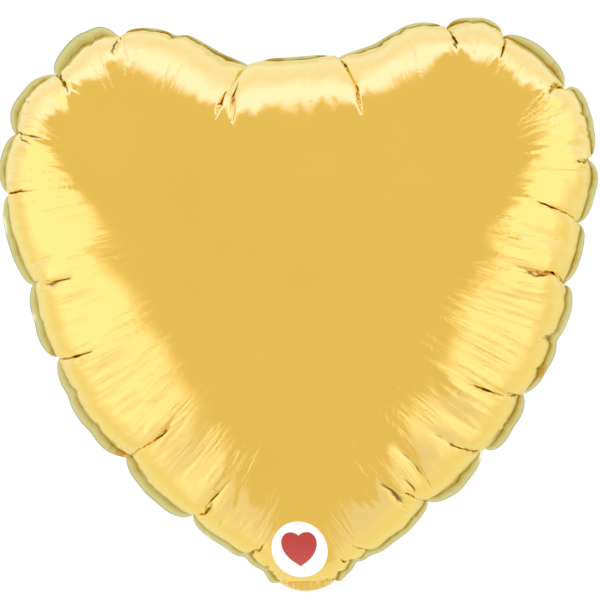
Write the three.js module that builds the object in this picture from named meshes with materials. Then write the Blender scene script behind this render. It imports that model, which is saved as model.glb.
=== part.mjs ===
// Heart-shaped foil balloon, inflated, with its inflation tail folded up behind it.
// Millimetres, +Z up, the front faces -Y. The origin is the middle of the fold where the neck meets the tail.
// Two foil panels, welded along a flat margin, hold the gas. Each one goes on as one ply of the tail, past the
// fold. Between the plies lie the two clear films of the self-sealing valve, which go on into the belly.

import * as THREE from 'three';

// Balloon
const DEPTH = 202;              // across the belly, front to back
const CENTRE_HEIGHT = 190;      // the belly's deepest point, above the fold
const CROWN_POWER = 2.2;        // 2 would be an ellipse; more is fuller towards the rim
const MARGIN = 5.5;             // width of the welded margin outside the seam
const NECK_MARGIN = 1;          // what is left of it between the seam and the tail
const FOIL = 0.8;               // stand-in wall, real film is about 0.04
const PLY_GAP = 0.3;            // between the two welded plies

// Tail and valve
const NECK_HALF_WIDTH = 16;
const FOLD_DROP = 2.6;          // the fold's axis, below the neck's seam
const TAIL_PLY = 0.4;           // stand-in wall of a tail ply
const TAIL_RADIUS = 62;         // the tail curves round the belly's underside
const TAIL_CURVED_LENGTH = 38;
const TAIL_FLAT_LENGTH = 22;
const VALVE_WIDTH = 26;
const VALVE_FILM = 0.25;        // stand-in wall of a valve film
const VALVE_LEAF_LENGTH = 75;   // inside the belly
const VALVE_LEAF_FOOT = 1.5;    // where a leaf starts, above the seam
const VALVE_CORNER = 5;
const FOLD_ALLOWANCE = 1.5;     // a valve root starts this far from the fold

// Fineness
const SIDE_STEPS = 28;          // round one half of the heart
const NECK_STEPS = 4;
const CROWN_STEPS = 9;          // from the belly's centre to the seam
const ARC_STEPS = 12;

// Right half of the seam, from the neck's corner, round the lobe, to the notch
const HALF_HEART = [
  [NECK_HALF_WIDTH, 0],
  [38, 21],
  [80, 49],
  [118, 90],
  [146, 138],
  [166, 190],
  [175.5, 243],
  [165, 290],
  [133, 322],
  [92, 335.5],
  [56, 328],
  [29, 317],
  [0, 316],
].map(([x, z]) => new THREE.Vector2(x, z));

const goldFoil = () => new THREE.MeshStandardMaterial({ color: 0xe8be5a, roughness: 0.2, metalness: 1 });
const clearFilm = () => new THREE.MeshStandardMaterial({ color: 0xe9edf0, roughness: 0.3, metalness: 0 });

function named(name, geometry, material) {
  const mesh = new THREE.Mesh(geometry, material);
  mesh.name = name;
  return mesh;
}

// The seam as one closed loop of (x, z) points, counter-clockwise seen from the front.
function seamLoop() {
  const right = new THREE.SplineCurve(HALF_HEART).getSpacedPoints(SIDE_STEPS);
  const left = right.slice(1, -1).reverse().map((p) => new THREE.Vector2(-p.x, p.y));
  const neck = [];
  for (let i = 0; i < NECK_STEPS; i += 1) {
    neck.push(new THREE.Vector2(NECK_HALF_WIDTH * (2 * i / NECK_STEPS - 1), 0));
  }
  return [...right, ...left, ...neck];
}

// The loop moved outwards by width(point) along its own normals.
function offsetLoop(loop, width) {
  return loop.map((p, i) => {
    const before = loop[(i + loop.length - 1) % loop.length];
    const after = loop[(i + 1) % loop.length];
    const normal = new THREE.Vector2(after.y - before.y, before.x - after.x).normalize();
    return p.clone().addScaledVector(normal, width(p));
  });
}

function marginWidth(p) {
  const atNeck = Math.abs(p.x) < NECK_HALF_WIDTH + 1 && p.y < 1;
  return atNeck ? NECK_MARGIN : MARGIN;
}

// One panel's closed skin: outer crown, margin, then the inner crown back to the centre.
// side is -1 for the front panel and +1 for the back one.
function panelGeometry(side) {
  const seam = seamLoop();
  const rim = offsetLoop(seam, marginWidth);
  const inner = offsetLoop(seam, () => -FOIL);
  const innerFace = PLY_GAP / 2;
  const outerFace = innerFace + FOIL;
  const crown = DEPTH / 2 - outerFace;
  const shares = Array.from({ length: CROWN_STEPS }, (_, i) => Math.sin((Math.PI / 2) * ((i + 1) / CROWN_STEPS)));

  const ring = (loop, share, face) => loop.map((p) => {
    const rise = crown * Math.sqrt(1 - share ** CROWN_POWER);
    return [p.x * share, side * (face + rise), CENTRE_HEIGHT + (p.y - CENTRE_HEIGHT) * share];
  });
  const rings = [
    ...shares.map((share) => ring(seam, share, outerFace)),
    ring(rim, 1, outerFace),
    ring(rim, 1, innerFace),
    ...shares.toReversed().map((share) => ring(inner, share, innerFace)),
  ];
  const poles = [outerFace, innerFace].map((face) => [0, side * (face + crown), CENTRE_HEIGHT]);
  return skinOfRings(rings, poles, side < 0);
}

// A closed surface through rings of equal length, with a fan to one pole at each end.
function skinOfRings(rings, [firstPole, lastPole], flip) {
  const count = rings[0].length;
  const points = [...rings.flat(), firstPole, lastPole];
  const first = points.length - 2;
  const last = points.length - 1;
  const lastRing = (rings.length - 1) * count;
  const triangles = [];
  const add = (a, b, c) => triangles.push(...(flip ? [a, c, b] : [a, b, c]));
  for (let i = 0; i < count; i += 1) {
    const next = (i + 1) % count;
    add(first, next, i);
    add(last, lastRing + i, lastRing + next);
    for (let r = 0; r + 1 < rings.length; r += 1) {
      const near = r * count;
      const far = near + count;
      add(near + i, near + next, far + next);
      add(near + i, far + next, far + i);
    }
  }
  const geometry = new THREE.BufferGeometry();
  geometry.setAttribute('position', new THREE.Float32BufferAttribute(points.flat(), 3));
  geometry.setIndex(triangles);
  geometry.computeVertexNormals();
  return geometry;
}

// A strip of the folded tail, seen along X: it leaves the fold level, curves up round the belly and may end flat.
// low and high are its two faces' distances below the tail's middle line; start is how far past the fold it begins.
function tailStripGeometry({ low, high, width, start, curved, flat }) {
  const inner = TAIL_RADIUS + low;
  const outer = TAIL_RADIUS + high;
  const down = -Math.PI / 2;
  const from = down + start / TAIL_RADIUS;
  const to = down + curved / TAIL_RADIUS;
  const along = new THREE.Vector2(-Math.sin(to), Math.cos(to)).multiplyScalar(flat);
  const corner = (radius) => new THREE.Vector2(radius * Math.cos(to), radius * Math.sin(to)).add(along);

  const shape = new THREE.Shape();
  shape.absarc(0, 0, outer, from, to, false);
  if (flat > 0) {
    shape.lineTo(corner(outer).x, corner(outer).y);
    shape.lineTo(corner(inner).x, corner(inner).y);
  }
  shape.absarc(0, 0, inner, to, from, true);
  const geometry = new THREE.ExtrudeGeometry(shape, { depth: width, bevelEnabled: false, curveSegments: ARC_STEPS });
  const alongX = new THREE.Matrix4().makeBasis(
    new THREE.Vector3(0, 1, 0),
    new THREE.Vector3(0, 0, 1),
    new THREE.Vector3(1, 0, 0),
  );
  return geometry
    .translate(0, TAIL_RADIUS - FOLD_DROP, -width / 2)
    .applyMatrix4(alongX);
}

// A valve leaf: a flat film with rounded upper corners, standing in the belly.
function valveLeafGeometry() {
  const half = VALVE_WIDTH / 2;
  const shape = new THREE.Shape();
  shape.moveTo(-half, 0);
  shape.lineTo(half, 0);
  shape.lineTo(half, VALVE_LEAF_LENGTH - VALVE_CORNER);
  shape.absarc(half - VALVE_CORNER, VALVE_LEAF_LENGTH - VALVE_CORNER, VALVE_CORNER, 0, Math.PI / 2, false);
  shape.absarc(VALVE_CORNER - half, VALVE_LEAF_LENGTH - VALVE_CORNER, VALVE_CORNER, Math.PI / 2, Math.PI, false);
  return new THREE.ExtrudeGeometry(shape, { depth: VALVE_FILM, bevelEnabled: false, curveSegments: 4 })
    .rotateX(Math.PI / 2);
}

function panels() {
  return [
    named('front_panel', panelGeometry(-1), goldFoil()),
    named('back_panel', panelGeometry(1), goldFoil()),
  ];
}

// The leaves stand on the seam line, one each side of the middle plane.
function valveLeaves() {
  const front = named('front_valve_leaf', valveLeafGeometry(), clearFilm());
  const back = named('back_valve_leaf', valveLeafGeometry(), clearFilm());
  front.position.set(0, -PLY_GAP / 2, VALVE_LEAF_FOOT);
  back.position.set(0, PLY_GAP / 2 + VALVE_FILM, VALVE_LEAF_FOOT);
  return [front, back];
}

// From the belly outwards: back ply, back film, front film, front ply, each a gap apart.
function foldedTail() {
  const film = { width: VALVE_WIDTH, start: FOLD_ALLOWANCE, curved: TAIL_CURVED_LENGTH, flat: 0 };
  const ply = { width: 2 * NECK_HALF_WIDTH, start: 0, curved: TAIL_CURVED_LENGTH, flat: TAIL_FLAT_LENGTH };
  const filmFace = PLY_GAP / 2;
  const plyFace = filmFace + VALVE_FILM + PLY_GAP;
  const strips = [
    ['back_tail', { ...ply, low: -plyFace - TAIL_PLY, high: -plyFace }, goldFoil()],
    ['back_valve_root', { ...film, low: -filmFace - VALVE_FILM, high: -filmFace }, clearFilm()],
    ['front_valve_root', { ...film, low: filmFace, high: filmFace + VALVE_FILM }, clearFilm()],
    ['front_tail', { ...ply, low: plyFace, high: plyFace + TAIL_PLY }, goldFoil()],
  ];
  return strips.map(([name, sizes, material]) => named(name, tailStripGeometry(sizes), material));
}

const balloon = new THREE.Group();
balloon.add(...panels(), ...valveLeaves(), ...foldedTail());

export default balloon;
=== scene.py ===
"""A heart-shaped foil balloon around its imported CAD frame. Metres, +Z up, front towards -Y.

Two flat foil hearts are welded round their edge and inflated by a position-based solver, coarse to fine.
Sharp creases, fine wrinkles and the welded margin are then added on the seam's own coordinates, and the
tail is lofted along the CAD tail.
"""

import math

import bpy
import numpy as np
from mathutils import Matrix, Vector, geometry


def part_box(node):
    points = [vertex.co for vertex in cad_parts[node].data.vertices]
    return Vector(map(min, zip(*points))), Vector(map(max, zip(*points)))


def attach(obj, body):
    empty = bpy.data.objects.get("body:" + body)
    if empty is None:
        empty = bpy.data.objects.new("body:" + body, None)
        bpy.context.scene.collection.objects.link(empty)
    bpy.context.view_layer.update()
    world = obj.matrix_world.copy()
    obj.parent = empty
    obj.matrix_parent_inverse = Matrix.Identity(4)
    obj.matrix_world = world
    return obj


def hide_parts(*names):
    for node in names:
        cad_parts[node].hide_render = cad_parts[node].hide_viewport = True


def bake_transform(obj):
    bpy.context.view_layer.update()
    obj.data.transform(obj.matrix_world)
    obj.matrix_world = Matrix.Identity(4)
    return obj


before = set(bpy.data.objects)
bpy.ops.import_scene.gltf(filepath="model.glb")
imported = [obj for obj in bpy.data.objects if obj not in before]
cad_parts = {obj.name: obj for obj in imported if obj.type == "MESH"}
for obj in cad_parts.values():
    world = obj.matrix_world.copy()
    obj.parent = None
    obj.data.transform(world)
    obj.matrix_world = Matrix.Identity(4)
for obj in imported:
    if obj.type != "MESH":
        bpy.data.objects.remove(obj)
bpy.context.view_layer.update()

# ---- the flat pattern and its creases
HALF_SEAM = [  # half of the flat heart's seam in mm, from the neck's corner round the lobe to the notch
    (16, 0), (40, 9), (90, 34), (137, 72), (174, 118), (201, 171), (217, 228),
    (222, 291), (207, 346), (176, 383), (136, 410), (89, 418), (45, 415), (0, 414),
]
# where the seam folds into a crease on the right (1) and left (-1), as shares of the way to the notch
FOLDS = {
    1: [0.143, 0.225, 0.31, 0.438, 0.51, 0.59, 0.68, 0.76, 0.84, 0.960],
    -1: [0.126, 0.234, 0.36, 0.45, 0.555, 0.63, 0.713, 0.806, 0.960],
}
NOTCH_FOLD = 0.960
NOTCH_LEAN = math.radians(8)  # the two creases of the notch lean apart
FOLD_LEAN = math.radians(9)
NECK_CORNER = HALF_SEAM[0][0] / 1000  # half the length of the neck's edge

RIM_STEP = 0.010  # spacing of the first mesh near the seam, where the wrinkles are
CORE_STEP = 0.016
RIM_BAND = 0.098
SEAM_CLEARANCE = 0.7  # room round the fixed points, in steps near the seam
RIM_CLEARANCE = 0.75
CORE_CLEARANCE = 0.35  # between the two spacings, in steps of the core
JITTER = 0.12
CREASE_ROWS = 8  # points of the first mesh along each crease
WELD = 0.006  # flat width of the welded margin
SEED = 3

# ---- inflation, coarse to fine
FIRST_GAP = 0.004
FIRST_NOISE = 0.0005
PULL = 6.0  # how hard the folds are drawn in on the first mesh, in units of the gas push
FOLD_SHARE = 0.014
FOLD_BALANCE = 0.8  # how much of the folds' mean pull pushes the seam out between them
NOTCH_PULL = 1.3
NECK_PUSH = 0.7  # the neck is pushed out, so that it ends up as the lowest point
NECK_PUSH_ZONE = (0.018, 0.02)  # its half width and height in the flat
LEVELS = [  # steps, gas push at start and end (m), resistance to crumpling, stiffness in bending
    (400, 4e-4, 4e-6, 0.25, 0.02),
    (200, 4e-5, 2e-6, 0.45, 0.004),
    (180, 1e-5, 1e-6, 1.0, 0.001),
    (90, 5e-6, 5e-7, 1.0, 0.0006),
]
NECK_RISE = 0.002  # the neck's edge is the seam below this height in the flat
NECK_SLACK = 0.0005
DAMPING = 0.9
SWEEPS = 2


def seeded(number):
    """A random generator that is the same each run."""
    return np.random.default_rng(SEED + number)


def way_along(points):
    """How far along a line of points each of them is."""
    return np.r_[0, np.cumsum(np.linalg.norm(np.diff(points, axis=0), axis=1))]


def unit(vectors):
    return vectors / np.maximum(np.linalg.norm(vectors, axis=1), 1e-12)[:, None]


def half_seam():
    """The right half of the flat seam: along the neck's edge, round the lobe, to the notch."""
    knots = np.array(HALF_SEAM, float) / 1000
    ghosts = np.vstack([2 * knots[0] - knots[1], knots, knots[-2] * (-1, 1)])
    t = np.linspace(0, 1, 24, endpoint=False)[:, None]
    spans = []
    for a, b, c, d in zip(ghosts, ghosts[1:], ghosts[2:], ghosts[3:]):
        spans.append(b + 0.5 * t * (c - a + t * (2 * a - 5 * b + 4 * c - d + t * (3 * (b - c) + d - a))))
    neck = np.linspace((0, 0), knots[0], 16)[:-1]
    return np.vstack([neck, *spans, knots[-1:]])


def seam_loop(step):
    """The flat seam as evenly spaced points, right side up and left side down, and the steps in half."""
    half = half_seam()
    run = way_along(half)
    count = round(run[-1] / step)
    at = np.linspace(0, run[-1], count + 1)
    right = np.stack([np.interp(at, run, half[:, k]) for k in range(2)], 1)
    return np.vstack([right, (right[::-1] * (-1, 1))[1:-1]]), count


def outward(loop):
    """Unit normals of the flat seam, pointing out of the heart."""
    along = unit(np.roll(loop, -1, 0) - np.roll(loop, 1, 0))
    return np.stack([along[:, 1], -along[:, 0]], 1)


def neck_share():
    """The neck's part of half the seam."""
    return NECK_CORNER / np.linalg.norm(np.diff(half_seam(), axis=0), axis=1).sum()


def fold_rows(loop, count):
    """(row of the loop, lean of the crease, side, share) for each fold of the seam."""
    corner = neck_share()
    rng = seeded(4)
    rows = []
    for side, shares in FOLDS.items():
        for share in shares:
            row = round((corner + share * (1 - corner)) * count)
            lean = rng.uniform(-FOLD_LEAN, FOLD_LEAN)
            if share == NOTCH_FOLD:
                lean = side * NOTCH_LEAN
            rows.append((row if side > 0 else (len(loop) - row) % len(loop), lean, side, share))
    return rows


def nearest(points, others):
    """Distance from each point to the nearest of the others, and which one it is."""
    far, which = [], []
    for part in np.array_split(points, max(1, len(points) // 4000)):
        gap = ((part[:, None] - others[None]) ** 2).sum(2)
        which.append(gap.argmin(1))
        far.append(np.sqrt(gap.min(1)))
    return np.concatenate(far), np.concatenate(which)


def inside(points, loop):
    """Which points lie inside the closed loop."""
    found = np.zeros(len(points), bool)
    x, y = points.T
    for (x0, y0), (x1, y1) in zip(loop, np.roll(loop, -1, 0)):
        if y0 != y1:
            crosses = (y0 > y) != (y1 > y)
            found ^= crosses & (x < (x1 - x0) * (y - y0) / (y1 - y0) + x0)
    return found


def hexagonal(step, rng):
    """Jittered points of a triangular grid over the whole heart."""
    rows = np.arange(-0.02, 0.46, step * math.sqrt(3) / 2)
    across = np.arange(-0.26, 0.26, step)
    grid = [(x + step / 2 * (k % 2), y) for k, y in enumerate(rows) for x in across]
    return np.array(grid) + rng.normal(0, step * JITTER, (len(grid), 2))


def crease_line(loop, row, lean):
    """Start and unit direction of the crease that runs inward from one row of the seam."""
    inward = -outward(loop)[row]
    c, s = math.cos(lean), math.sin(lean)
    return loop[row], np.array([c * inward[0] - s * inward[1], s * inward[0] + c * inward[1]])


def fixed_points(loop, count):
    """Points of the seam and the creases, and the edges that the mesh must have between them."""
    total = len(loop)
    edges = [(i, (i + 1) % total) for i in range(total)]
    fixed = [loop]
    for row, lean, _, _ in fold_rows(loop, count):
        start, way = crease_line(loop, row, lean)
        line = [start + way * RIM_STEP * k for k in range(1, CREASE_ROWS + 1)]
        edges += [(row if k == 0 else total + k - 1, total + k) for k in range(len(line))]
        fixed.append(np.array(line))
        total += len(line)
    return np.vstack(fixed), edges


def flat_balloon():
    """The first mesh: both hearts and the margin strip in the flat, as one closed welded net."""
    rng = seeded(-2)
    loop, count = seam_loop(RIM_STEP)
    fixed, edges = fixed_points(loop, count)
    rim, core = hexagonal(RIM_STEP, rng), hexagonal(CORE_STEP, rng)
    rim = rim[inside(rim, loop) & (nearest(rim, loop)[0] < RIM_BAND)]
    rim = rim[nearest(rim, fixed)[0] > SEAM_CLEARANCE * RIM_STEP]
    core = core[inside(core, loop) & (nearest(core, loop)[0] > RIM_BAND + CORE_CLEARANCE * CORE_STEP)]
    core = core[nearest(core, rim)[0] > RIM_CLEARANCE * RIM_STEP]
    points = [Vector(p) for p in np.vstack([fixed, rim, core])]
    solved = geometry.delaunay_2d_cdt(points, edges, [], 1, 1e-7)
    flat = np.array([v[:] for v in solved[0]])
    front = np.array([tuple(f) for f in solved[2]])
    a, b, c = (flat[front[:, k]] for k in range(3))
    turned = (b - a)[:, 0] * (c - a)[:, 1] < (b - a)[:, 1] * (c - a)[:, 0]
    front[turned] = front[turned][:, ::-1]
    return join_sides(flat, front, loop, count)


def join_sides(flat, front, loop, count):
    """Adds the back heart, which shares the seam's points, and the margin's strip."""
    points, size = len(flat), len(loop)
    back = np.where(front < size, front, front - size + points)[:, ::-1]
    first = 2 * points - size
    here = np.arange(size)
    after = (here + 1) % size
    strip = np.vstack([np.c_[here, first + here, first + after], np.c_[here, first + after, after]])
    side = np.r_[np.zeros(size), -np.ones(points - size), np.ones(points - size), np.zeros(size)]
    return {
        "flat": np.vstack([flat, flat[size:], loop + outward(loop) * WELD]),
        "side": side,
        "faces": np.vstack([front, back, strip]),
        "part": np.repeat([0, 1, 2], [len(front), len(back), len(strip)]),
        "loop": here,
        "count": count,
    }


def edges_of(faces):
    pairs = np.sort(np.vstack([faces[:, [0, 1]], faces[:, [1, 2]], faces[:, [2, 0]]]), axis=1)
    return np.unique(pairs, axis=0)


def both_ways(edges):
    """Where each edge starts and where it ends, taken once in each direction."""
    return np.r_[edges[:, 0], edges[:, 1]], np.r_[edges[:, 1], edges[:, 0]]


def hearts_of(net):
    """The triangles of the two hearts, without the margin."""
    return net["faces"][net["part"] < 2]


def spacing(loop):
    return np.linalg.norm(loop[1] - loop[0])


def subdivide(net, at):
    """Splits every triangle into four. The seam's rows and the parts follow."""
    edges, faces = edges_of(net["faces"]), net["faces"]
    keys = edges[:, 0].astype(np.int64) * len(at) + edges[:, 1]

    def middle(a, b):
        return len(at) + np.searchsorted(keys, np.minimum(a, b).astype(np.int64) * len(at) + np.maximum(a, b))

    a, b, c = faces.T
    ab, bc, ca = middle(a, b), middle(b, c), middle(c, a)
    loop = net["loop"]
    finer = {
        "flat": np.vstack([net["flat"], net["flat"][edges].mean(1)]),
        "faces": np.vstack([np.c_[a, ab, ca], np.c_[ab, b, bc], np.c_[ca, bc, c], np.c_[ab, bc, ca]]),
        "part": np.tile(net["part"], 4),
        "loop": np.stack([loop, middle(loop, np.roll(loop, -1))], 1).ravel(),
        "count": net["count"] * 2,
    }
    return finer, np.vstack([at, at[edges].mean(1)])


def edge_groups(edges, count):
    """Groups of edges that share no point, so each group can be solved at once."""
    used, group = [0] * count, []
    for a, b in edges.tolist():
        taken, free = used[a] | used[b], 0
        while taken >> free & 1:
            free += 1
        used[a] |= 1 << free
        used[b] |= 1 << free
        group.append(free)
    group = np.array(group)
    return [np.where(group == k)[0] for k in range(group.max() + 1)]


def sum_at(index, values, count):
    return np.stack([np.bincount(index, values[:, k], minlength=count) for k in range(3)], 1)


def area_normals(at, faces):
    """Sum of the normals of the triangles round each point, by area."""
    a, b, c = (at[faces[:, k]] for k in range(3))
    return sum_at(faces.ravel(), np.repeat(np.cross(b - a, c - a), 3, axis=0), len(at))


def neck_bar(net):
    """The neck's edge, from left to right, which the tail and the valve keep straight."""
    loop = net["loop"]
    place = net["flat"][loop]
    rows = loop[(place[:, 1] < NECK_RISE) & (np.abs(place[:, 0]) < NECK_CORNER + NECK_SLACK)]
    rows = rows[np.argsort(net["flat"][rows, 0])]
    return rows, net["flat"][rows, 0] - net["flat"][rows, 0].mean()


def keep_lengths(at, groups, resist):
    """Moves points so that edges come back to their flat length; short ones resist less."""
    for i, j, rest in groups:
        gap = at[j] - at[i]
        now = np.sqrt((gap * gap).sum(1))
        off = (now - rest) / now * 0.5
        gap *= np.where(off < 0, off * resist, off)[:, None]
        at[i] += gap
        at[j] -= gap


def inflate(net, at, level, drawn=None):
    """Pushes the net outward while edges keep their flat length, or crumple shorter."""
    steps, first_push, last_push, resist, bending = level
    edges, count = edges_of(net["faces"]), len(at)
    length = np.linalg.norm(net["flat"][edges[:, 0]] - net["flat"][edges[:, 1]], axis=1)
    groups = [(edges[g, 0], edges[g, 1], length[g]) for g in edge_groups(edges, count)]
    shell = hearts_of(net)
    near, far = both_ways(edges)
    links = np.bincount(near, minlength=count)[:, None]
    neck, spread = neck_bar(net)
    speed = np.zeros_like(at)
    for step in range(steps):
        gas = area_normals(at, shell)
        strength = np.linalg.norm(gas, axis=1)
        push = first_push * (last_push / first_push) ** (step / steps)
        move = gas * push / strength[strength > 0].mean()
        if drawn is not None:
            move += drawn * push
        bent = sum_at(near, at[far], count) / links - at
        before = at
        at = at + DAMPING * speed + move + bending * bent
        for _ in range(SWEEPS):
            keep_lengths(at, groups, resist)
        bar = at[neck[-1]] - at[neck[0]]
        at[neck] = at[neck].mean(0) + np.outer(spread, bar / np.linalg.norm(bar))
        speed = at - before
    return at


def fold_pull(net):
    """Extra push on the first mesh's seam: inward at the folds, a little outward between them."""
    loop, count = net["flat"][net["loop"]], net["count"]
    size = len(loop)
    row = np.arange(size)
    rows = np.where(row <= count, row, size - row)
    corner = neck_share()
    share = (rows / count - corner) / (1 - corner)
    rng = seeded(2)
    pull, lift = np.zeros(size), np.zeros(size)
    for side, folds in FOLDS.items():
        for fold in folds:
            here = np.exp(-(((share - fold) / FOLD_SHARE) ** 2)) * (np.where(row <= count, 1, -1) == side)
            pull += here * (NOTCH_PULL if fold == NOTCH_FOLD else 1)
            lift += here * rng.choice([-1, 1])
    wide, high = NECK_PUSH_ZONE
    at_neck = np.exp(-((loop[:, 0] / wide) ** 4)) * (loop[:, 1] < high)
    pull = pull - FOLD_BALANCE * pull.mean() - NECK_PUSH * at_neck
    out = -outward(loop) * pull[:, None] * PULL
    drawn = np.zeros((len(net["flat"]), 3))
    drawn[net["loop"]] = np.stack([out[:, 0], lift, out[:, 1]], 1)
    drawn[-size:] = drawn[net["loop"]]
    return drawn


def aligned(net, at):
    """Turns the balloon so that it faces as its flat pattern does, neck at the bottom."""
    flat = np.insert(net["flat"], 1, 0, axis=1)
    a, b = at - at.mean(0), flat - flat.mean(0)
    u, _, v = np.linalg.svd(a.T @ b)
    turned = np.diag([1, 1, np.sign(np.linalg.det(u @ v))])
    return a @ (u @ turned @ v)


def inflated_balloon():
    """The whole simulation: the net in the flat, and where its points end up."""
    net = flat_balloon()
    rng = seeded(0)
    at = np.stack([net["flat"][:, 0], net["side"] * FIRST_GAP, net["flat"][:, 1]], 1)
    at[:, 1] += rng.normal(0, FIRST_NOISE, len(at))
    at = inflate(net, at, LEVELS[0], fold_pull(net))
    for level in LEVELS[1:]:
        net, at = subdivide(net, at)
        at = inflate(net, at, level)
    return net, aligned(net, at)


# ---- creases and wrinkles on the panels
CREASE_DEPTH = 0.0021
CREASE_VARIES = (0.75, 1.15)
CREASE_HALF_WIDTH = 0.0024
CREASE_LENGTH = (0.050, 0.085)
CREASE_START = 0.0025
NOTCH_CREASE = 0.7  # the notch's two creases are shorter
LIP_HEIGHT = 0.22  # of the ridges beside a crease, as a share of its depth
LIP_PLACE = (1.7, 0.8)  # their distance from it and their width, in half widths of the crease
NECK_PLEAT = 0.0036  # spacing of the ridges that run from the panels down into the tail
PLEAT_HEIGHT = 0.0008
CORNER_LEAN = math.radians(22)
CORNER_CREASE = 0.024
CORNER_START = (0.002, 0.004)  # how far from the corner the pinch starts, and over what length
CORNER_DEPTH = 0.6  # as a share of the depth of a crease
PINCH = (0.6, 0.013)  # how far the walls of a fold are drawn together, and the reach to each side
NOTCH_PINCH = (0.9, 0.022)
PINCH_LENGTH = 0.050
PINCH_MIDDLE = 0.0015  # half width of the strip of foil at the bottom of a fold
# how wrinkled the foil is from one fold to the next, from the neck round to the notch
WRINKLING = {
    1: [0.15, 0.5, 1.4, 1.2, 1.0, 1.1, 0.8, 0.8, 0.6, 0.35, 0.8],
    -1: [0.15, 1.5, 1.2, 0.6, 0.8, 0.7, 0.7, 0.6, 0.12, 0.8],
}
GROUPS = 210  # groups of parallel wrinkles
GROUP_SIZE = (3, 10)
GROUP_START = (0.03, 0.48)  # its start and its length, as shares of how deep wrinkles run
GROUP_LENGTH = (0.28, 0.54)
WRINKLE_SPACING = (0.0046, 0.0066)
WRINKLE_HEIGHT = (0.00010, 0.00042)
WRINKLE_HALF_WIDTH = 0.36  # in spacings
WRINKLE_SLANT = 0.06
WRINKLE_SEARCH = 0.015
SPACING_VARIES = (0.93, 1.07)
START_VARIES = 0.006
LENGTH_VARIES = (0.75, 1.25)
LOBE_REACH = ((0.24, 0.35), (0.130, 0.078))  # flat heights, and how deep the wrinkles run there
NOTCH_REACH = 0.100
NOTCH_HALF_WIDTH = 0.09
QUIET_HEIGHT = (0.10, 0.13)  # below this, wrinkles stop short of the middle line
QUIET_HALF_WIDTH = 0.018
NORMAL_SMOOTHING = 12
HOLLOW_SMOOTHING = 4
HOLLOW_DEPTH = 0.0006


def seam_place(points, loop):
    """(way along the seam, distance in from it) of flat points, in metres."""
    _, row = nearest(points, loop)
    normal = outward(loop)[row]
    along = np.stack([-normal[:, 1], normal[:, 0]], 1)
    gap = points - loop[row]
    return row * spacing(loop) + (gap * along).sum(1), np.abs((gap * normal).sum(1))


def smoothed_normals(at, net):
    """Point normals evened out, so that creases and wrinkles don't tangle."""
    near, far = both_ways(edges_of(hearts_of(net)))
    normals = unit(area_normals(at, hearts_of(net)))
    for _ in range(NORMAL_SMOOTHING):
        normals = unit(normals + sum_at(near, normals[far], len(at)))
    return normals


def creases(flat, loop, count, rng):
    """Height of the sharp creases at flat points."""
    height = np.zeros(len(flat))
    for row, lean, _, share in fold_rows(loop, count):
        start, way = crease_line(loop, row, lean)
        reach = rng.uniform(*CREASE_LENGTH) * (NOTCH_CREASE if share == NOTCH_FOLD else 1)
        depth = CREASE_DEPTH * rng.uniform(*CREASE_VARIES)
        along, across = line_place(flat, start, way)
        left = np.clip(1 - along / reach, 0, 1)
        fade = left ** 0.9 * np.clip(along / CREASE_START, 0, 1)
        half = CREASE_HALF_WIDTH * (0.55 + 0.45 * left)
        valley = np.clip(1 - np.abs(across) / half, 0, 1)
        lips = np.exp(-(((np.abs(across) - LIP_PLACE[0] * half) / (LIP_PLACE[1] * half)) ** 2))
        height += depth * fade * (LIP_HEIGHT * lips - valley)
    return height


def pleats(x):
    """Height of the ridges of the gathered neck, at places across it."""
    rng = seeded(9)
    height = np.zeros_like(x)
    for k in range(-4, 5):
        tall = PLEAT_HEIGHT * rng.uniform(0.6, 1.2)
        height += tall * np.exp(-(((x - k * NECK_PLEAT) / (0.3 * NECK_PLEAT)) ** 2))
    return height


def neck_gap(x):
    """How far each panel stands off the middle of the neck, at places across it."""
    return (NECK_GAP + pleats(x)) * np.exp(-((x / MOUTH_HALF_WIDTH) ** 8))


def corner_pinches(flat):
    """Height of the slanted pinch at each corner of the neck."""
    height = np.zeros(len(flat))
    start, length = CORNER_START
    for side in (-1, 1):
        way = np.array([-side * math.sin(CORNER_LEAN), math.cos(CORNER_LEAN)])
        along, across = line_place(flat, np.array([side * NECK_CORNER, 0.0]), way)
        fade = np.clip(1 - along / CORNER_CREASE, 0, 1) * np.clip((along - start) / length, 0, 1)
        valley = np.clip(1 - np.abs(across) / CREASE_HALF_WIDTH, 0, 1)
        height -= CORNER_DEPTH * CREASE_DEPTH * fade * valley
    return height


def line_place(flat, start, way):
    """(way along, way across) a line of the flat pattern."""
    gap = flat - start
    return gap @ way, gap[:, 0] * way[1] - gap[:, 1] * way[0]


def by_span(loop, count, sides):
    """A value for each row of the seam, from one value for each span between two folds."""
    folds = {1: [0], -1: [0]}
    for row, _, side, _ in fold_rows(loop, count):
        folds[side].append(row if side > 0 else len(loop) - row)
    values = np.zeros(len(loop))
    for side, spans in sides.items():
        limits = [*sorted(folds[side]), count + 1]
        for low, high, value in zip(limits, limits[1:], spans):
            values[[side * row % len(loop) for row in range(low, high)]] = value
    return values


def wrinkle_reach(loop):
    """How deep the wrinkles run from each row of the seam: less in the round lobes."""
    reach = np.interp(loop[:, 1], *LOBE_REACH)
    at_notch = (np.abs(loop[:, 0]) < NOTCH_HALF_WIDTH) & (loop[:, 1] > LOBE_REACH[0][1])
    return np.where(at_notch, NOTCH_REACH, reach)


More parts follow.
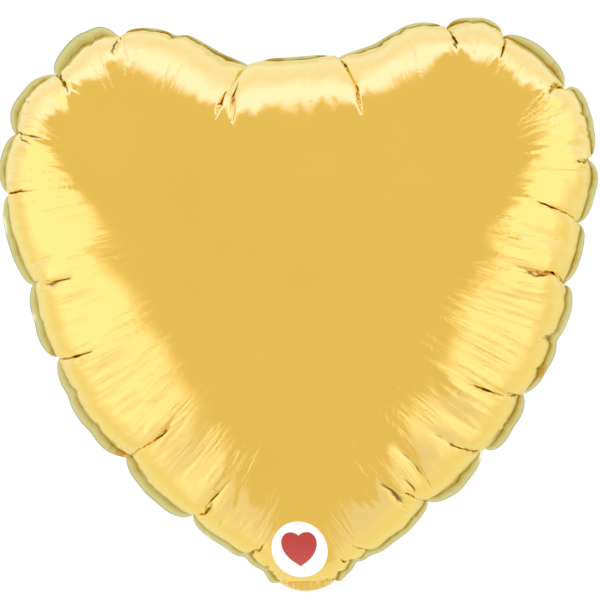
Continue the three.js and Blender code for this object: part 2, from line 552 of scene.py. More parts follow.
def wrinkles(along, depth, loop, count, rng):
    """Height of the fine wrinkles that run in from the seam, in groups of parallel ridges."""
    step = spacing(loop)
    total = step * len(loop)
    strength = by_span(loop, count, WRINKLING)
    limit = wrinkle_reach(loop)
    order = np.argsort(along)
    ordered = along[order]
    height = np.zeros(len(along))
    for _ in range(GROUPS):
        middle = rng.uniform(0, total)
        apart = rng.uniform(*WRINKLE_SPACING)
        deepest = limit[int(middle / step) % len(loop)]
        first = rng.uniform(*GROUP_START) * deepest
        length = rng.uniform(*GROUP_LENGTH) * deepest
        slope = rng.normal(0, WRINKLE_SLANT)
        ridges = rng.integers(*GROUP_SIZE)
        for k in range(ridges):
            place = (middle + (k - ridges / 2) * apart * rng.uniform(*SPACING_VARIES)) % total
            start = first + rng.normal(0, START_VARIES)
            reach = length * rng.uniform(*LENGTH_VARIES)
            tall = rng.uniform(*WRINKLE_HEIGHT) * strength[int(place / step) % len(loop)]
            low, high = np.searchsorted(ordered, [place - WRINKLE_SEARCH, place + WRINKLE_SEARCH])
            rows = order[low:high]
            across = along[rows] - place - slope * (depth[rows] - start)
            inner = np.clip((depth[rows] - start) / reach, 0, 1)
            ridge = np.exp(-((across / (WRINKLE_HALF_WIDTH * apart)) ** 2))
            height[rows] += tall * ridge * np.sin(math.pi * inner) ** 0.8
    return height * np.clip(depth / 0.002, 0, 1)


def off_the_middle(flat):
    """0 on the middle line above the neck, where both sides' wrinkles would meet, 1 elsewhere."""
    away = 1 - np.exp(-((flat[:, 0] / QUIET_HALF_WIDTH) ** 2))
    low, high = QUIET_HEIGHT
    return np.maximum(away, np.clip((flat[:, 1] - low) / (high - low), 0, 1))


def pinched(net, at):
    """Draws the walls of each fold together, so that the fold closes to a thin line."""
    flat, loop = net["flat"], net["flat"][net["loop"]]
    moved = at.copy()
    for part in (0, 1):
        rows = np.unique(net["faces"][net["part"] == part])
        if part == 1:
            rows = np.setdiff1d(rows, net["loop"])
        for row, lean, _, share in fold_rows(loop, net["count"]):
            along, across = line_place(flat[rows], *crease_line(loop, row, lean))
            pinch, reach = NOTCH_PINCH if share == NOTCH_FOLD else PINCH
            near = (np.abs(across) < reach) & (along > -1e-6) & (along < PINCH_LENGTH)
            here, along, across = rows[near], along[near], across[near]
            beside = round(reach / spacing(loop))
            after, before = at[net["loop"][[(row + beside) % len(loop), row - beside]]]
            lateral = (after - before) / np.linalg.norm(after - before)
            offset = at[here] @ lateral
            middle = np.abs(across) < PINCH_MIDDLE
            order = np.argsort(along[middle])
            centre = np.interp(along, along[middle][order], offset[middle][order])
            fade = np.clip((PINCH_LENGTH - along) / (0.5 * PINCH_LENGTH), 0, 1)
            squeeze = pinch * fade * (1 - (across / reach) ** 2) ** 2
            moved[here] -= np.outer((offset - centre) * squeeze, lateral)
    return moved


def shade_in_creases(net, at, normals):
    """How deep each point lies in a crease, from 0 to 1: the mask of the shade painted dark brown into the
    creases.
    """
    near, far = both_ways(edges_of(hearts_of(net)))
    links = np.maximum(np.bincount(near, minlength=len(at)), 1)[:, None]
    around = at
    for _ in range(HOLLOW_SMOOTHING):
        around = (around + sum_at(near, around[far], len(at)) / links) / 2
    return np.clip(((around - at) * normals).sum(1) / HOLLOW_DEPTH, 0, 1)


# ---- the welded margin
MARGIN_ROWS = 6
MARGIN_WIDTH = 0.0053
PLY = 0.00012  # half the gap between the margin's two plies
FOLD_REACH = 0.0045
FOLD_LIFT = 0.0026
LIFT_VARIES = (0.7, 1.2)
LIFT_POWER = 1.4
TAPER_REACH = 0.012
TAPER = 0.62
RIPPLE_LENGTH = 0.004
RIPPLE_HEIGHT = 0.0005
NECK_CLEAR = (0.015, 0.006)  # how far from the neck's middle the margin stops, and over what length
NECK_REST = 0.03
OUTER_EVENING = 0.0035  # its outer edge and its direction are evened out over these lengths
FRAME_EVENING = 0.006
# how wide the margin shows from one fold to the next, from the neck round to the notch
MARGIN = {
    1: [0.7, 1.1, 1.1, 0.9, 0.8, 0.8, 0.8, 1.1, 0.55, 0.45, 0.4],
    -1: [0.8, 1.2, 1.2, 1.1, 1.0, 0.9, 1.0, 1.5, 0.35, 0.4],
}
MARGIN_EVENING = 0.003
SHADED_BELOW = 0.6  # where the margin is narrower than this it is crumpled, and painted brown there as shade
NECK_GAP = 0.0009
MOUTH_HALF_WIDTH = 0.0152
MOUTH_HEIGHT = 0.012
SHARP_ANGLE = math.radians(40)


def smooth_round(values, sigma):
    """Gaussian smoothing of values round the closed seam, over sigma rows."""
    reach = int(3 * sigma) + 1
    offsets = np.arange(-reach, reach + 1)
    weights = np.exp(-0.5 * (offsets / sigma) ** 2)
    weights /= weights.sum()
    return sum(w * np.roll(values, k, 0) for k, w in zip(offsets, weights))


def margin_rows(seam, out, step, folds, spans):
    """The margin's rows of points outside the seam: narrow and turned over at each fold."""
    size = len(seam)
    row = np.arange(size)
    rng = seeded(8)
    width, lift = spans.copy(), np.zeros(size)
    for fold in folds:
        gap = ((row - fold + size / 2) % size - size / 2) * step
        near = np.exp(-((gap / FOLD_REACH) ** 2))
        width *= 1 - TAPER * np.exp(-((gap / TAPER_REACH) ** 2))
        lift += FOLD_LIFT * rng.choice([-1, 1]) * gap / FOLD_REACH * near * rng.uniform(*LIFT_VARIES)
    ripple = smooth_round(rng.normal(0, 1, size), RIPPLE_LENGTH / step)
    ripple *= RIPPLE_HEIGHT / ripple.std()
    clear, over = NECK_CLEAR
    width *= np.clip((np.minimum(row, size - row) * step - clear) / over, NECK_REST, 1)
    even = smooth_round(seam, OUTER_EVENING / step)
    rows = []
    for k in range(1, MARGIN_ROWS + 1):
        share = k / MARGIN_ROWS
        rise = (lift + ripple) * share ** LIFT_POWER
        start = seam + (even - seam) * share
        rows.append(start + out * (MARGIN_WIDTH * width * share)[:, None] + np.outer(rise, (0, 1, 0)))
    return rows


def seam_frame(net, at, sign):
    """Unit vectors at each point of the seam: out along the margin, and across it."""
    rows = net["loop"]
    evening = FRAME_EVENING / spacing(net["flat"][rows])
    tangent = unit(smooth_round(np.roll(at[rows], -1, 0) - np.roll(at[rows], 1, 0), evening))
    out = unit(smooth_round(unit(area_normals(at, hearts_of(net)))[rows], evening))
    out = unit(out - tangent * (out * tangent).sum(1)[:, None])
    across = unit(np.cross(tangent, out))
    return out, across * (np.sign(across[:, 1:2]) * sign)


def panel(net, at, painted_shade, part, sign):
    """One foil panel with its ply of the margin: points, faces, seam coordinates and the mask of painted
    shade.
    """
    faces = net["faces"][net["part"] == part]
    used = np.unique(faces)
    flat, loop = net["flat"][used], net["flat"][net["loop"]]
    step, size = spacing(loop), len(loop)
    along, depth = seam_place(flat, loop)
    mouth = neck_gap(flat[:, 0]) * np.exp(-((flat[:, 1] / MOUTH_HEIGHT) ** 2))
    points = [at[used] + np.outer(mouth, (0, sign, 0))]
    index = np.full(len(at), -1)
    index[used] = np.arange(len(used))
    inner = index[net["loop"]]

    out, across = seam_frame(net, at, sign)
    folds = [row for row, _, _, _ in fold_rows(loop, net["count"])]
    spans = smooth_round(by_span(loop, net["count"], MARGIN), MARGIN_EVENING / step)
    # painted shade: the narrow, crumpled margin is darkened brown through the mask of painted shade
    crumple_shade = np.clip((SHADED_BELOW - spans) / SHADED_BELOW, 0, 1)
    here = np.arange(size)
    after = (here + 1) % size
    strips = []
    for k, row in enumerate(margin_rows(points[0][inner], out, step, folds, spans)):
        outer = len(used) + k * size + here
        points.append(row + across * (PLY if k < MARGIN_ROWS - 1 else 0))
        strips += [np.c_[inner, outer, outer[after]], np.c_[inner, outer[after], inner[after]]]
        inner = outer
    strips = np.vstack(strips)
    outside = -WELD * np.repeat(np.arange(1, MARGIN_ROWS + 1), size) / MARGIN_ROWS
    seam = np.c_[np.r_[along, np.tile(here * step, MARGIN_ROWS)], np.r_[depth, outside]]
    return {
        "points": np.vstack(points),
        "faces": np.vstack([index[faces], strips if sign < 0 else strips[:, ::-1]]),
        "seam": seam,
        "total": step * size,
        "painted_shade": np.r_[painted_shade[used], np.tile(crumple_shade, MARGIN_ROWS)],
    }


def around_corners(seam, corner, total):
    """Seam coordinates at the triangles' corners, with no jump where the seam closes."""
    place = seam[corner]
    along = place[:, 0].reshape(-1, 3)
    along = along + total * (along < along.max(1, keepdims=True) - total / 2)
    return np.stack([along.ravel(), place[:, 1]], 1)


def add_object(name, data):
    obj = bpy.data.objects.new(name, data)
    bpy.context.scene.collection.objects.link(obj)
    return obj


def make_mesh(name, points, faces, seam=None, total=0.0, painted_shade=None):
    """A smooth mesh object; the foil's has the seam's coordinates as UVs and its mask of painted shade, in
    the creases and on the crumpled margin, as an attribute.
    """
    mesh = bpy.data.meshes.new(name)
    mesh.from_pydata(points.tolist(), [], faces.tolist())
    corner = np.zeros(len(mesh.loops), np.int32)
    mesh.loops.foreach_get("vertex_index", corner)
    if seam is not None:
        place = around_corners(seam, corner, total)
        mesh.uv_layers.new(name="seam").data.foreach_set("uv", place.astype(np.float32).ravel())
        mesh.attributes.new("painted_shade", "FLOAT", "POINT").data.foreach_set("value", painted_shade.astype(np.float32))
    mesh.polygons.foreach_set("use_smooth", [True] * len(mesh.polygons))
    mesh.set_sharp_from_angle(angle=SHARP_ANGLE)
    mesh.update()
    return add_object(name, mesh)


def foil_panels():
    """Both panels, scaled to the CAD panels' width, with their top where the CAD panels end."""
    net, at = inflated_balloon()
    at = pinched(net, at)
    rng = seeded(20)
    normals = smoothed_normals(at, net)
    flat, loop, count = net["flat"], net["flat"][net["loop"]], net["count"]
    sides = [np.unique(net["faces"][net["part"] == part]) for part in (0, 1)]
    for rows in sides:
        height = creases(flat[rows], loop, count, rng) + corner_pinches(flat[rows])
        at[rows] += normals[rows] * height[:, None]
    # painted shade: how deep each point lies in a crease, used to darken the creases in the foil's colour
    painted_shade = shade_in_creases(net, at, normals)
    for rows in sides:
        place = seam_place(flat[rows], loop)
        height = wrinkles(*place, loop, count, rng) * off_the_middle(flat[rows])
        at[rows] += normals[rows] * height[:, None]
    sides = [panel(net, at, painted_shade, 0, -1), panel(net, at, painted_shade, 1, 1)]
    both = np.vstack([side["points"] for side in sides])
    low, high = both.min(0), both.max(0)
    cad_low, cad_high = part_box("front_panel")
    scale = (cad_high.x - cad_low.x) / (high[0] - low[0])
    neck = at[neck_bar(net)[0]]
    origin = np.array([(low[0] + high[0]) / 2, neck[:, 1].mean(), high[2] - cad_high.z / scale])
    for side in sides:
        side["points"] = (side["points"] - origin) * scale
    return sides, (neck - origin) * scale


# ---- materials
def new_material(name):
    material = bpy.data.materials.new(name)
    material.use_nodes = True
    return material, material.node_tree, material.node_tree.nodes["Principled BSDF"]


def fed(tree, node, inputs):
    """The node, with inputs set by name or number to numbers, colours or output sockets."""
    for name, value in inputs.items():
        if isinstance(value, bpy.types.NodeSocket):
            tree.links.new(value, node.inputs[name])
        else:
            node.inputs[name].default_value = (*value, 1) if isinstance(value, tuple) else value
    return node


def maths(tree, operation, *values):
    """Output of a Math node; each value is a number or an output socket."""
    node = tree.nodes.new("ShaderNodeMath")
    node.operation = operation
    return fed(tree, node, dict(enumerate(values))).outputs[0]


def product(tree, first, *others):
    """Product of several numbers or output sockets."""
    for other in others:
        first = maths(tree, "MULTIPLY", first, other)
    return first


def ramp(tree, value, low, high, at_low=0.0, at_high=1.0):
    """A smooth step of value, from at_low to at_high."""
    node = tree.nodes.new("ShaderNodeMapRange")
    node.interpolation_type = "SMOOTHSTEP"
    return fed(tree, node, dict(enumerate((value, low, high, at_low, at_high)))).outputs[0]


def mixed(tree, share, first, second):
    """A colour mix; each colour is a tuple or an output socket."""
    node = tree.nodes.new("ShaderNodeMix")
    node.data_type = "RGBA"
    return fed(tree, node, {0: share, 6: first, 7: second}).outputs[2]


def noise(tree, vector, scale, detail=2.0):
    node = tree.nodes.new("ShaderNodeTexNoise")
    return fed(tree, node, {"Vector": vector, "Scale": scale, "Detail": detail}).outputs["Fac"]


def drawn_noise(tree, parts, scales, detail, offset=0.0):
    """Noise of two coordinates, each with its own scale in 1/m."""
    x, y = (product(tree, part, scale) for part, scale in zip(parts, scales))
    vector = fed(tree, tree.nodes.new("ShaderNodeCombineXYZ"), {0: x, 1: y, 2: offset})
    return noise(tree, vector.outputs[0], 1.0, detail)


def bump(tree, height, distance, **normal):
    inputs = {"Strength": 1.0, "Distance": distance, "Height": height, **normal}
    return fed(tree, tree.nodes.new("ShaderNodeBump"), inputs).outputs[0]


def parts_of(tree, vector):
    """The x, y and z of a vector socket."""
    split = tree.nodes.new("ShaderNodeSeparateXYZ")
    tree.links.new(vector, split.inputs[0])
    return split.outputs


def seam_parts(tree):
    """The way along the seam and the distance in from it, in metres."""
    uv = tree.nodes.new("ShaderNodeUVMap")
    uv.uv_map = "seam"
    return parts_of(tree, uv.outputs[0])[:2]


def coordinates(tree, kind="Object"):
    """A kind of texture coordinates, as a vector and as its x, y and z."""
    place = tree.nodes.new("ShaderNodeTexCoord").outputs[kind]
    return place, parts_of(tree, place)


GOLD = (0.84, 0.535, 0.125)
INK_RED = (0.46, 0.012, 0.025)
EDGE_GOLD = (0.97, 0.94, 0.56)  # tint of the mirror film at grazing angles
WELD_GOLD = (0.71, 0.67, 0.38)
# painted shade: the margin darkens to this brown towards the seam, where it meets the bulging panel
WELD_SHADE_BROWN = (0.57, 0.44, 0.15)
# painted shade: the dark brown of the creases, the crumpled margin and the lines at the seam and the margin's
# edge
SHADE_BROWN = (0.16, 0.075, 0.018)
PRINT_WHITE = (0.90, 0.90, 0.88)
FILM_TINTS = ((0.86, 0.87, 0.85), (0.97, 0.97, 0.95))
PRINT_AT = (-0.0018, 0.0258)
PRINT_RADIUS = 0.0166
PRINT_BLUR = 0.0002
PRINT_STRETCH = 1.12  # the print is on foil that slopes away below
HEART_SIZE = 0.0092
HEART_RISE = -0.0008
# fine streaks: scales along and across, height, and how far in they run
STREAK_SCALES = (420.0, 26.0)
BUNCH_SCALES = (34.0, 22.0)
STREAK_HEIGHT = 0.0011
STREAK_REACH = (0.085, 0.14)
SHORTER_STREAKS = (0.19, 0.26, 0.0, 0.05)  # between these heights they get shorter by this much
STREAKLESS = (0.003, 0.024)  # half width of the middle, which has none below the next heights
STREAKLESS_TOP = (0.08, 0.11)
SKIN_HEIGHT = 0.000006
# where the margin, its band of painted shade and its painted dark shade lines start and end, from the seam
WELD_EDGE = (-0.0006, -0.0001)
WELD_BAND = (-0.0045, -0.0008)
SEAM_LINE = (0.0002, 0.0007, 0.55, 0.0)
RIM_LINE = (-0.0059, -0.0054, 0.7, 0.0)
WELDLESS_NECK = (0.0125, 0.0150)  # half width of the neck, which has none below the next heights
WELDLESS_TOP = (0.006, 0.010)
# how far in from the seam the painted shade of the creases reaches
CREASES_END = (0.078, 0.090)


def print_masks(tree):
    """Masks of the printed disc and of the plain heart inside it, seen from the front."""
    _, (x, _, z) = coordinates(tree)
    x = maths(tree, "SUBTRACT", x, PRINT_AT[0])
    z = maths(tree, "DIVIDE", maths(tree, "SUBTRACT", z, PRINT_AT[1]), PRINT_STRETCH)
    radius = maths(tree, "SQRT", maths(tree, "ADD", product(tree, x, x), product(tree, z, z)))
    disc = ramp(tree, radius, PRINT_RADIUS - PRINT_BLUR, PRINT_RADIUS + PRINT_BLUR, 1.0, 0.0)
    u = maths(tree, "DIVIDE", x, HEART_SIZE)
    v = maths(tree, "DIVIDE", maths(tree, "SUBTRACT", z, HEART_RISE), HEART_SIZE)
    circle = maths(tree, "ADD", product(tree, u, u), product(tree, v, v))
    lobes = product(tree, maths(tree, "POWER", maths(tree, "ABSOLUTE", u), 2 / 3), v)
    heart = maths(tree, "SUBTRACT", maths(tree, "SUBTRACT", circle, 1.0), lobes)
    return disc, ramp(tree, heart, -0.03, 0.03, 1.0, 0.0)


def foil_normal(tree, along, depth):
    """Bump: streaks in bunches, running in from the seam, and the skin's faint texture."""
    place, (x, _, z) = coordinates(tree)
    fine = drawn_noise(tree, (along, depth), STREAK_SCALES, 3.0)
    bunch = drawn_noise(tree, (along, depth), BUNCH_SCALES, 2.0, 7.0)
    middle = ramp(tree, maths(tree, "ABSOLUTE", x), *STREAKLESS)
    middle = maths(tree, "MAXIMUM", middle, ramp(tree, z, *STREAKLESS_TOP))
    deeper = maths(tree, "ADD", depth, ramp(tree, z, *SHORTER_STREAKS))
    reach = product(tree, ramp(tree, bunch, 0.42, 0.62), ramp(tree, deeper, *STREAK_REACH, 1.0, 0.0), middle)
    streaks = product(tree, maths(tree, "SUBTRACT", fine, 0.5), reach)
    skin = noise(tree, place, 900.0, 2.0)
    return bump(tree, skin, SKIN_HEIGHT, Normal=bump(tree, streaks, STREAK_HEIGHT))


def varied_gold(tree, place, scale, low, high):
    """The film's gold, varied between two shares of its brightness."""
    darker, lighter = (tuple(min(1, c * share) for c in GOLD) for share in (low, high))
    return mixed(tree, noise(tree, place, scale, 3.0), darker, lighter)


def with_margin(tree, colour, depth):
    """The colour with the welded margin added, with painted shade towards the seam and painted dark shade
    lines at the seam and at the margin's edge, and the margin's mask.
    """
    _, (x, _, z) = coordinates(tree)
    shown = ramp(tree, maths(tree, "ABSOLUTE", x), *WELDLESS_NECK)
    shown = maths(tree, "MAXIMUM", shown, ramp(tree, z, *WELDLESS_TOP))
    weld = product(tree, ramp(tree, depth, *WELD_EDGE, 1.0, 0.0), shown)
    # the margin's own pale gold, with painted shade darkening it brown towards the seam
    weld_and_shade = mixed(tree, ramp(tree, depth, *WELD_BAND), WELD_GOLD, WELD_SHADE_BROWN)
    # painted shade: dark lines along the seam's fold and along the margin's outer edge
    off_seam = maths(tree, "ABSOLUTE", maths(tree, "ADD", depth, 0.0002))
    shade_lines = maths(tree, "MAXIMUM", ramp(tree, off_seam, *SEAM_LINE), ramp(tree, depth, *RIM_LINE))
    colour = mixed(tree, weld, colour, weld_and_shade)
    return mixed(tree, product(tree, shade_lines, shown), colour, SHADE_BROWN), weld


def foil_material(name, printed):
    """Gold metallised film: mirror-like under a clear nylon skin, wrinkled along the seam."""
    material, tree, shader = new_material(name)
    along, depth = seam_parts(tree)
    place, _ = coordinates(tree)
    colour, weld = with_margin(tree, varied_gold(tree, place, 14.0, 0.97, 1.03), depth)
    # painted shade: the creases' hollows and the crumpled margin are darkened to brown, and their coat is
    # thinner
    painted_shade = tree.nodes.new("ShaderNodeAttribute")
    painted_shade.attribute_name = "painted_shade"
    crease_shade = ramp(tree, painted_shade.outputs["Fac"], 0.25, 0.95)
    crease_shade = product(tree, crease_shade, ramp(tree, depth, *CREASES_END, 1.0, 0.0))
    colour = mixed(tree, crease_shade, colour, SHADE_BROWN)
    rough = ramp(tree, noise(tree, place, 60.0, 4.0), 0.3, 0.7, 0.09, 0.14)
    rough = maths(tree, "ADD", rough, product(tree, weld, 0.12))
    metal = 1.0
    if printed:
        disc, motif = print_masks(tree)
        colour = mixed(tree, disc, colour, mixed(tree, motif, PRINT_WHITE, INK_RED))
        rough = maths(tree, "ADD", rough, product(tree, disc, 0.15))
        metal = maths(tree, "SUBTRACT", 1.0, product(tree, disc, 0.9))
    fed(tree, shader, {
        "Base Color": colour,
        "Metallic": metal,
        "Roughness": rough,
        "Normal": foil_normal(tree, along, depth),
        "Specular Tint": EDGE_GOLD,
        "Coat Weight": maths(tree, "MULTIPLY_ADD", crease_shade, -0.3, 0.32),
        "Coat Roughness": 0.08,
        "Coat IOR": 1.45,
    })
    return material


def tail_material():
    """The same film on the tail, flatter and hazier, with fine creases down it."""
    material, tree, shader = new_material("tail_foil")
    place, (x, y, _) = coordinates(tree)
    fed(tree, shader, {
        "Base Color": varied_gold(tree, place, 30.0, 0.94, 1.02),
        "Metallic": 1.0,
        "Roughness": ramp(tree, noise(tree, place, 90.0, 3.0), 0.3, 0.7, 0.18, 0.28),
        "Normal": bump(tree, drawn_noise(tree, (x, y), (500.0, 40.0), 3.0), 0.0009),
        "Coat Weight": 1.0,
        "Coat Roughness": 0.1,
    })
    return material


def film_material():
    """The clear valve film inside the neck, slightly milky, with faint drawn lines along it."""
    material, tree, shader = new_material("valve_film")
    _, (x, _, z) = coordinates(tree)
    drawn = drawn_noise(tree, (x, z), (700.0, 30.0), 2.0)
    fed(tree, shader, {
        "Base Color": mixed(tree, drawn, *FILM_TINTS),
        "Roughness": ramp(tree, drawn, 0.2, 0.8, 0.12, 0.3),
        "Normal": bump(tree, drawn, 0.0002),
        "Alpha": 0.55,
        "IOR": 1.5,
    })
    return material


# ---- the tail
TAIL_RADIUS = 0.062
TAIL_FOLD_DROP = 0.0026
TAIL_CURVED = 0.038
TAIL_FLAT = 0.022
TAIL_HALF_WIDTH = 0.016
TAIL_OFFSET = 0.0009
FOLD_RADIUS = 0.0026
TAIL_COLUMNS = 40
TAIL_PLEATED = 0.0038  # how far down the tail the ridges of the neck fade away
TAIL_SETTLES = 0.004  # below this the tail takes over from the neck's edge
FILM_HALF_WIDTH = 0.0118
FILM_OFFSET = 0.0003
SHEET_SIZES = {"gold_foil": (TAIL_HALF_WIDTH, TAIL_OFFSET), "valve_film": (FILM_HALF_WIDTH, FILM_OFFSET)}
SIDES_CLOSED = 0.85  # the share of the gap between the plies that closes at the sides
CORNER_RISE = 0.0042  # the fold is round: its sides lie higher than its middle
CORNER_RISE_ENDS = (0.008, 0.012)  # how far down the tail, and the length over which that fades


def tail_path(top):
    """(y, z) points down the tail, from the neck round the fold, and their outward normals."""
    points, normals = [], []
    for z in np.linspace(top, 0, 7)[1:-1]:
        points.append((0.0, z))
        normals.append((-1.0, 0.0))
    for angle in np.linspace(0, math.pi / 2, 9):
        points.append((FOLD_RADIUS * (1 - math.cos(angle)), -FOLD_RADIUS * math.sin(angle)))
        normals.append((-math.cos(angle), -math.sin(angle)))
    reach = TAIL_CURVED / TAIL_RADIUS
    start = math.asin(FOLD_RADIUS / TAIL_RADIUS)
    for angle in np.linspace(start, reach, 26)[1:]:
        points.append((TAIL_RADIUS * math.sin(angle), TAIL_RADIUS * (1 - math.cos(angle)) - TAIL_FOLD_DROP))
        normals.append((math.sin(angle), -math.cos(angle)))
    y, z = points[-1]
    for run in np.linspace(0, TAIL_FLAT, 16)[1:]:
        points.append((y + run * math.cos(reach), z + run * math.sin(reach)))
        normals.append((math.sin(reach), -math.cos(reach)))
    return np.array(points), np.array(normals)


def tail_rows(neck, side, half_width, offset):
    """Rows of points across one sheet of the tail, from the neck's edge down the CAD tail."""
    share = np.linspace(-1, 1, TAIL_COLUMNS + 1)
    order = np.argsort(neck[:, 0])
    wide = np.abs(neck[:, 0]).max() * half_width / TAIL_HALF_WIDTH
    edge = np.stack([np.interp(share * wide, neck[order, 0], neck[order, k]) for k in range(3)], 1)
    edge[:, 1] -= side * neck_gap(edge[:, 0]) * offset / TAIL_OFFSET
    path, normals = tail_path(edge[:, 2].mean())
    runs = way_along(path)
    ridges = side * pleats(share * half_width) * offset / TAIL_OFFSET
    level, fading = CORNER_RISE_ENDS
    rows = [edge]
    for (y, z), (ny, nz), run in zip(path, normals, runs):
        settle = np.clip(run / TAIL_SETTLES, 0, 1)
        apart = side * offset * (1 - SIDES_CLOSED * share ** 4)
        apart = apart + ridges * math.exp(-(run / TAIL_PLEATED) ** 2)
        lift = CORNER_RISE * share ** 2 * math.exp(-((max(run - level, 0) / fading) ** 2)) * settle
        here = np.stack([share * half_width, y + ny * apart, z + nz * apart + lift], 1)
        here[:, 0] += (edge[:, 0] - here[:, 0]) * (1 - settle)
        rows.append(here)
    return rows


def tail_sheet(name, neck, side, node, slot, material):
    """One sheet of the tail: foil or valve film, side +1 towards the front of the hanging tail."""
    rows = tail_rows(neck, side, *SHEET_SIZES[slot])
    obj = make_mesh(name, np.vstack(rows), grid_faces(len(rows), TAIL_COLUMNS + 1, side < 0))
    obj.data.materials.append(material)
    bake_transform(obj)
    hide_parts(node)


def grid_faces(rows, columns, forward):
    """Quads of a grid of points, wound one way or the other."""
    first = (np.arange(rows - 1)[:, None] * columns + np.arange(columns - 1)).ravel()
    quads = np.c_[first, first + 1, first + columns + 1, first + columns]
    return quads if forward else quads[:, ::-1]


# ---- light, floor and camera
FRONT_LIGHT = 0.95  # in front, where the camera stands, and at the far end
FRONT_LIMIT = -0.62
FRONT_BENDS = [(1, 0.0, 1.15), (1, 0.71, -1.75), (-1, 0.55, 0.9)]  # up or down, from where, slope
FRONT_SOFTNESS = 0.09
BOTTOM_BEND = (0.45, 2.0)  # straight below: from where, slope
BOTTOM_WIDTH = (0.05, 0.40)
CORNER_REACH = 0.3
CORNER_SHADE = 0.15
BACK_LIGHT = 1.2
BACK_EDGE = (0.30, 0.62)
FAR_EDGE = (0.80, 0.95)
SIDE_LIGHT = (-0.95, -0.35, 1.13, 1.57)  # below the first height and above the second
TOP_EDGE = (0.3, 0.85)
BACK_TOP_EDGE = (-0.3, 0.4)
FRONT_TINT = (1.0, 0.99, 0.72)
SIDE_TINT = (0.94, 1.03, 1.28)
TOP_TINT = (0.98, 1.08, 2.25)
BACK_TINT = (0.90, 0.96, 0.92)
BACK_TOP_TINT = (0.94, 1.10, 1.70)


def blend_numbers(tree, share, first, second):
    """first where share is 0, second where it is 1."""
    rest = maths(tree, "SUBTRACT", 1.0, share)
    return maths(tree, "ADD", product(tree, rest, first), product(tree, share, second))


def above(tree, value, limit, slope):
    """slope times how far value is above limit, and 0 below it."""
    over = maths(tree, "MAXIMUM", maths(tree, "SUBTRACT", value, limit), 0.0)
    return product(tree, over, slope)


def front_zone(tree, x, y, z):
    """Masks of the studio's dim front and of its lower corner on the right, by direction."""
    down = product(tree, z, -1.0)
    corner = product(tree, above(tree, x, 0.0, 1.0), above(tree, down, 0.0, 1.0))
    limit = maths(tree, "MULTIPLY_ADD", corner, CORNER_REACH, FRONT_LIMIT)
    for upward, start, slope in FRONT_BENDS:
        limit = maths(tree, "ADD", limit, above(tree, z if upward > 0 else down, start, slope))
    straight = ramp(tree, maths(tree, "ABSOLUTE", x), *BOTTOM_WIDTH, 1.0, 0.0)
    limit = maths(tree, "ADD", limit, product(tree, above(tree, down, *BOTTOM_BEND), straight))
    inside_it = maths(tree, "SUBTRACT", y, limit)
    return ramp(tree, inside_it, -FRONT_SOFTNESS, FRONT_SOFTNESS, 1.0, 0.0), corner


def studio_world():
    """A white studio, dimmer in front, where the camera stands, and at the far end."""
    world = bpy.data.worlds.new("studio")
    bpy.context.scene.world = world
    world.use_nodes = True
    tree = world.node_tree
    _, (x, y, z) = coordinates(tree, "Generated")
    front, corner = front_zone(tree, x, y, z)
    dim = maths(tree, "MAXIMUM", front, ramp(tree, y, *FAR_EDGE))
    back = ramp(tree, y, *BACK_EDGE)
    shade = product(tree, corner, CORNER_SHADE)
    light = maths(tree, "SUBTRACT", ramp(tree, z, *SIDE_LIGHT), shade)
    light = blend_numbers(tree, back, light, BACK_LIGHT)
    light = blend_numbers(tree, dim, light, FRONT_LIGHT)
    seen = tree.nodes.new("ShaderNodeLightPath").outputs["Is Camera Ray"]
    back_tint = mixed(tree, ramp(tree, z, *BACK_TOP_EDGE), BACK_TINT, BACK_TOP_TINT)
    colour = mixed(tree, ramp(tree, z, *TOP_EDGE), SIDE_TINT, TOP_TINT)
    colour = mixed(tree, dim, mixed(tree, back, colour, back_tint), FRONT_TINT)
    fed(tree, tree.nodes["Background"], {
        "Color": mixed(tree, seen, colour, (1.0, 1.0, 1.0)),
        "Strength": blend_numbers(tree, seen, light, 1.0),
    })


LIGHTS = [  # name, place, size and power
    ("key_left", (-1.5, -0.5, 0.7), 1.1, 6),
    ("key_right", (1.5, -0.5, 0.5), 1.1, 6),
    ("top", (0.0, -0.2, 1.7), 1.2, 7),
]
LIT_POINT = Vector((0, 0, 0.2))
FLOOR_POINTS = 96
FLOOR_RADIUS = 2.0
FLOOR_LEVEL = -0.55
FLOOR_TINTS = ((0.86, 0.86, 0.86), (0.9, 0.9, 0.9))


def area_light(name, at, size, power):
    light = bpy.data.lights.new(name, "AREA")
    light.shape = "DISK"
    light.size = size
    light.energy = power
    obj = add_object(name, light)
    obj.location = at
    obj.rotation_euler = (LIT_POINT - Vector(at)).to_track_quat("-Z", "Y").to_euler()
    obj.visible_glossy = False


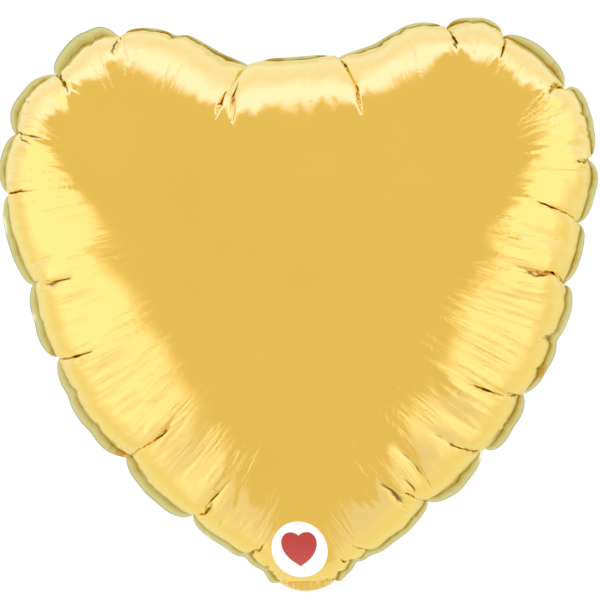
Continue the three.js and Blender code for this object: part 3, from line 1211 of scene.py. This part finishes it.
def studio_floor():
    """A plain pale disc well below the floating balloon."""
    turns = [2 * math.pi * k / FLOOR_POINTS for k in range(FLOOR_POINTS)]
    ring = [(FLOOR_RADIUS * math.cos(turn), FLOOR_RADIUS * math.sin(turn), FLOOR_LEVEL) for turn in turns]
    mesh = bpy.data.meshes.new("floor")
    mesh.from_pydata(ring, [], [tuple(range(FLOOR_POINTS))])
    material, tree, shader = new_material("floor")
    place, _ = coordinates(tree)
    fed(tree, shader, {"Base Color": mixed(tree, noise(tree, place, 3.0), *FLOOR_TINTS), "Roughness": 0.9})
    mesh.materials.append(material)
    obj = add_object("floor", mesh)
    obj.visible_glossy = False


CAMERA_AZIMUTH = math.radians(2.5)
CAMERA_ELEVATION = math.radians(1.0)
CAMERA_ROLL = math.radians(1.32)
CAMERA_DISTANCE = 1.9
FRAME_WIDTH = 0.3625
CAMERA_TARGET = (0.0, 0.0, 0.173)


def camera():
    """A long lens almost straight in front of the balloon, rolled a little."""
    data = bpy.data.cameras.new("camera")
    obj = add_object("camera", data)
    bpy.context.scene.camera = obj
    a, e = CAMERA_AZIMUTH, CAMERA_ELEVATION
    back = Vector((math.sin(a) * math.cos(e), -math.cos(a) * math.cos(e), math.sin(e)))
    turn = (-back).to_track_quat("-Z", "Y").to_matrix().to_4x4() @ Matrix.Rotation(-CAMERA_ROLL, 4, "Z")
    obj.matrix_world = Matrix.Translation(Vector(CAMERA_TARGET) + back * CAMERA_DISTANCE) @ turn
    data.lens = data.sensor_width * CAMERA_DISTANCE / FRAME_WIDTH


# ---- the object
camera()
studio_world()
studio_floor()
for light in LIGHTS:
    area_light(*light)

panels, neck_edge = foil_panels()
for name, shape, node, printed in (
    ("foil_front", panels[0], "front_panel", True),
    ("foil_back", panels[1], "back_panel", False),
):
    foil = make_mesh(name, shape["points"], shape["faces"], shape["seam"], shape["total"], shape["painted_shade"])
    foil.data.materials.append(foil_material(name, printed))
    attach(foil, "balloon")
    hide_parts(node)

tail_foil, film = tail_material(), film_material()
plain_film = bpy.data.materials["valve_film"]  # the frame's own; film is named valve_film.001
for name, side, node, slot, material in (
    ("tail_front_ply", 1, "front_tail", "gold_foil", tail_foil),
    ("tail_back_ply", -1, "back_tail", "gold_foil", tail_foil),
    ("valve_front_film", 1, "front_valve_root", "valve_film", plain_film),
    ("valve_back_film", -1, "back_valve_root", "valve_film", plain_film),
):
    tail_sheet(name, neck_edge, side, node, slot, material)
for node in ("front_valve_leaf", "back_valve_leaf"):
    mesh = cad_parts[node].data
    mesh.materials.clear()
    mesh.materials.append(film)

bpy.context.scene.view_settings.view_transform = "Standard"
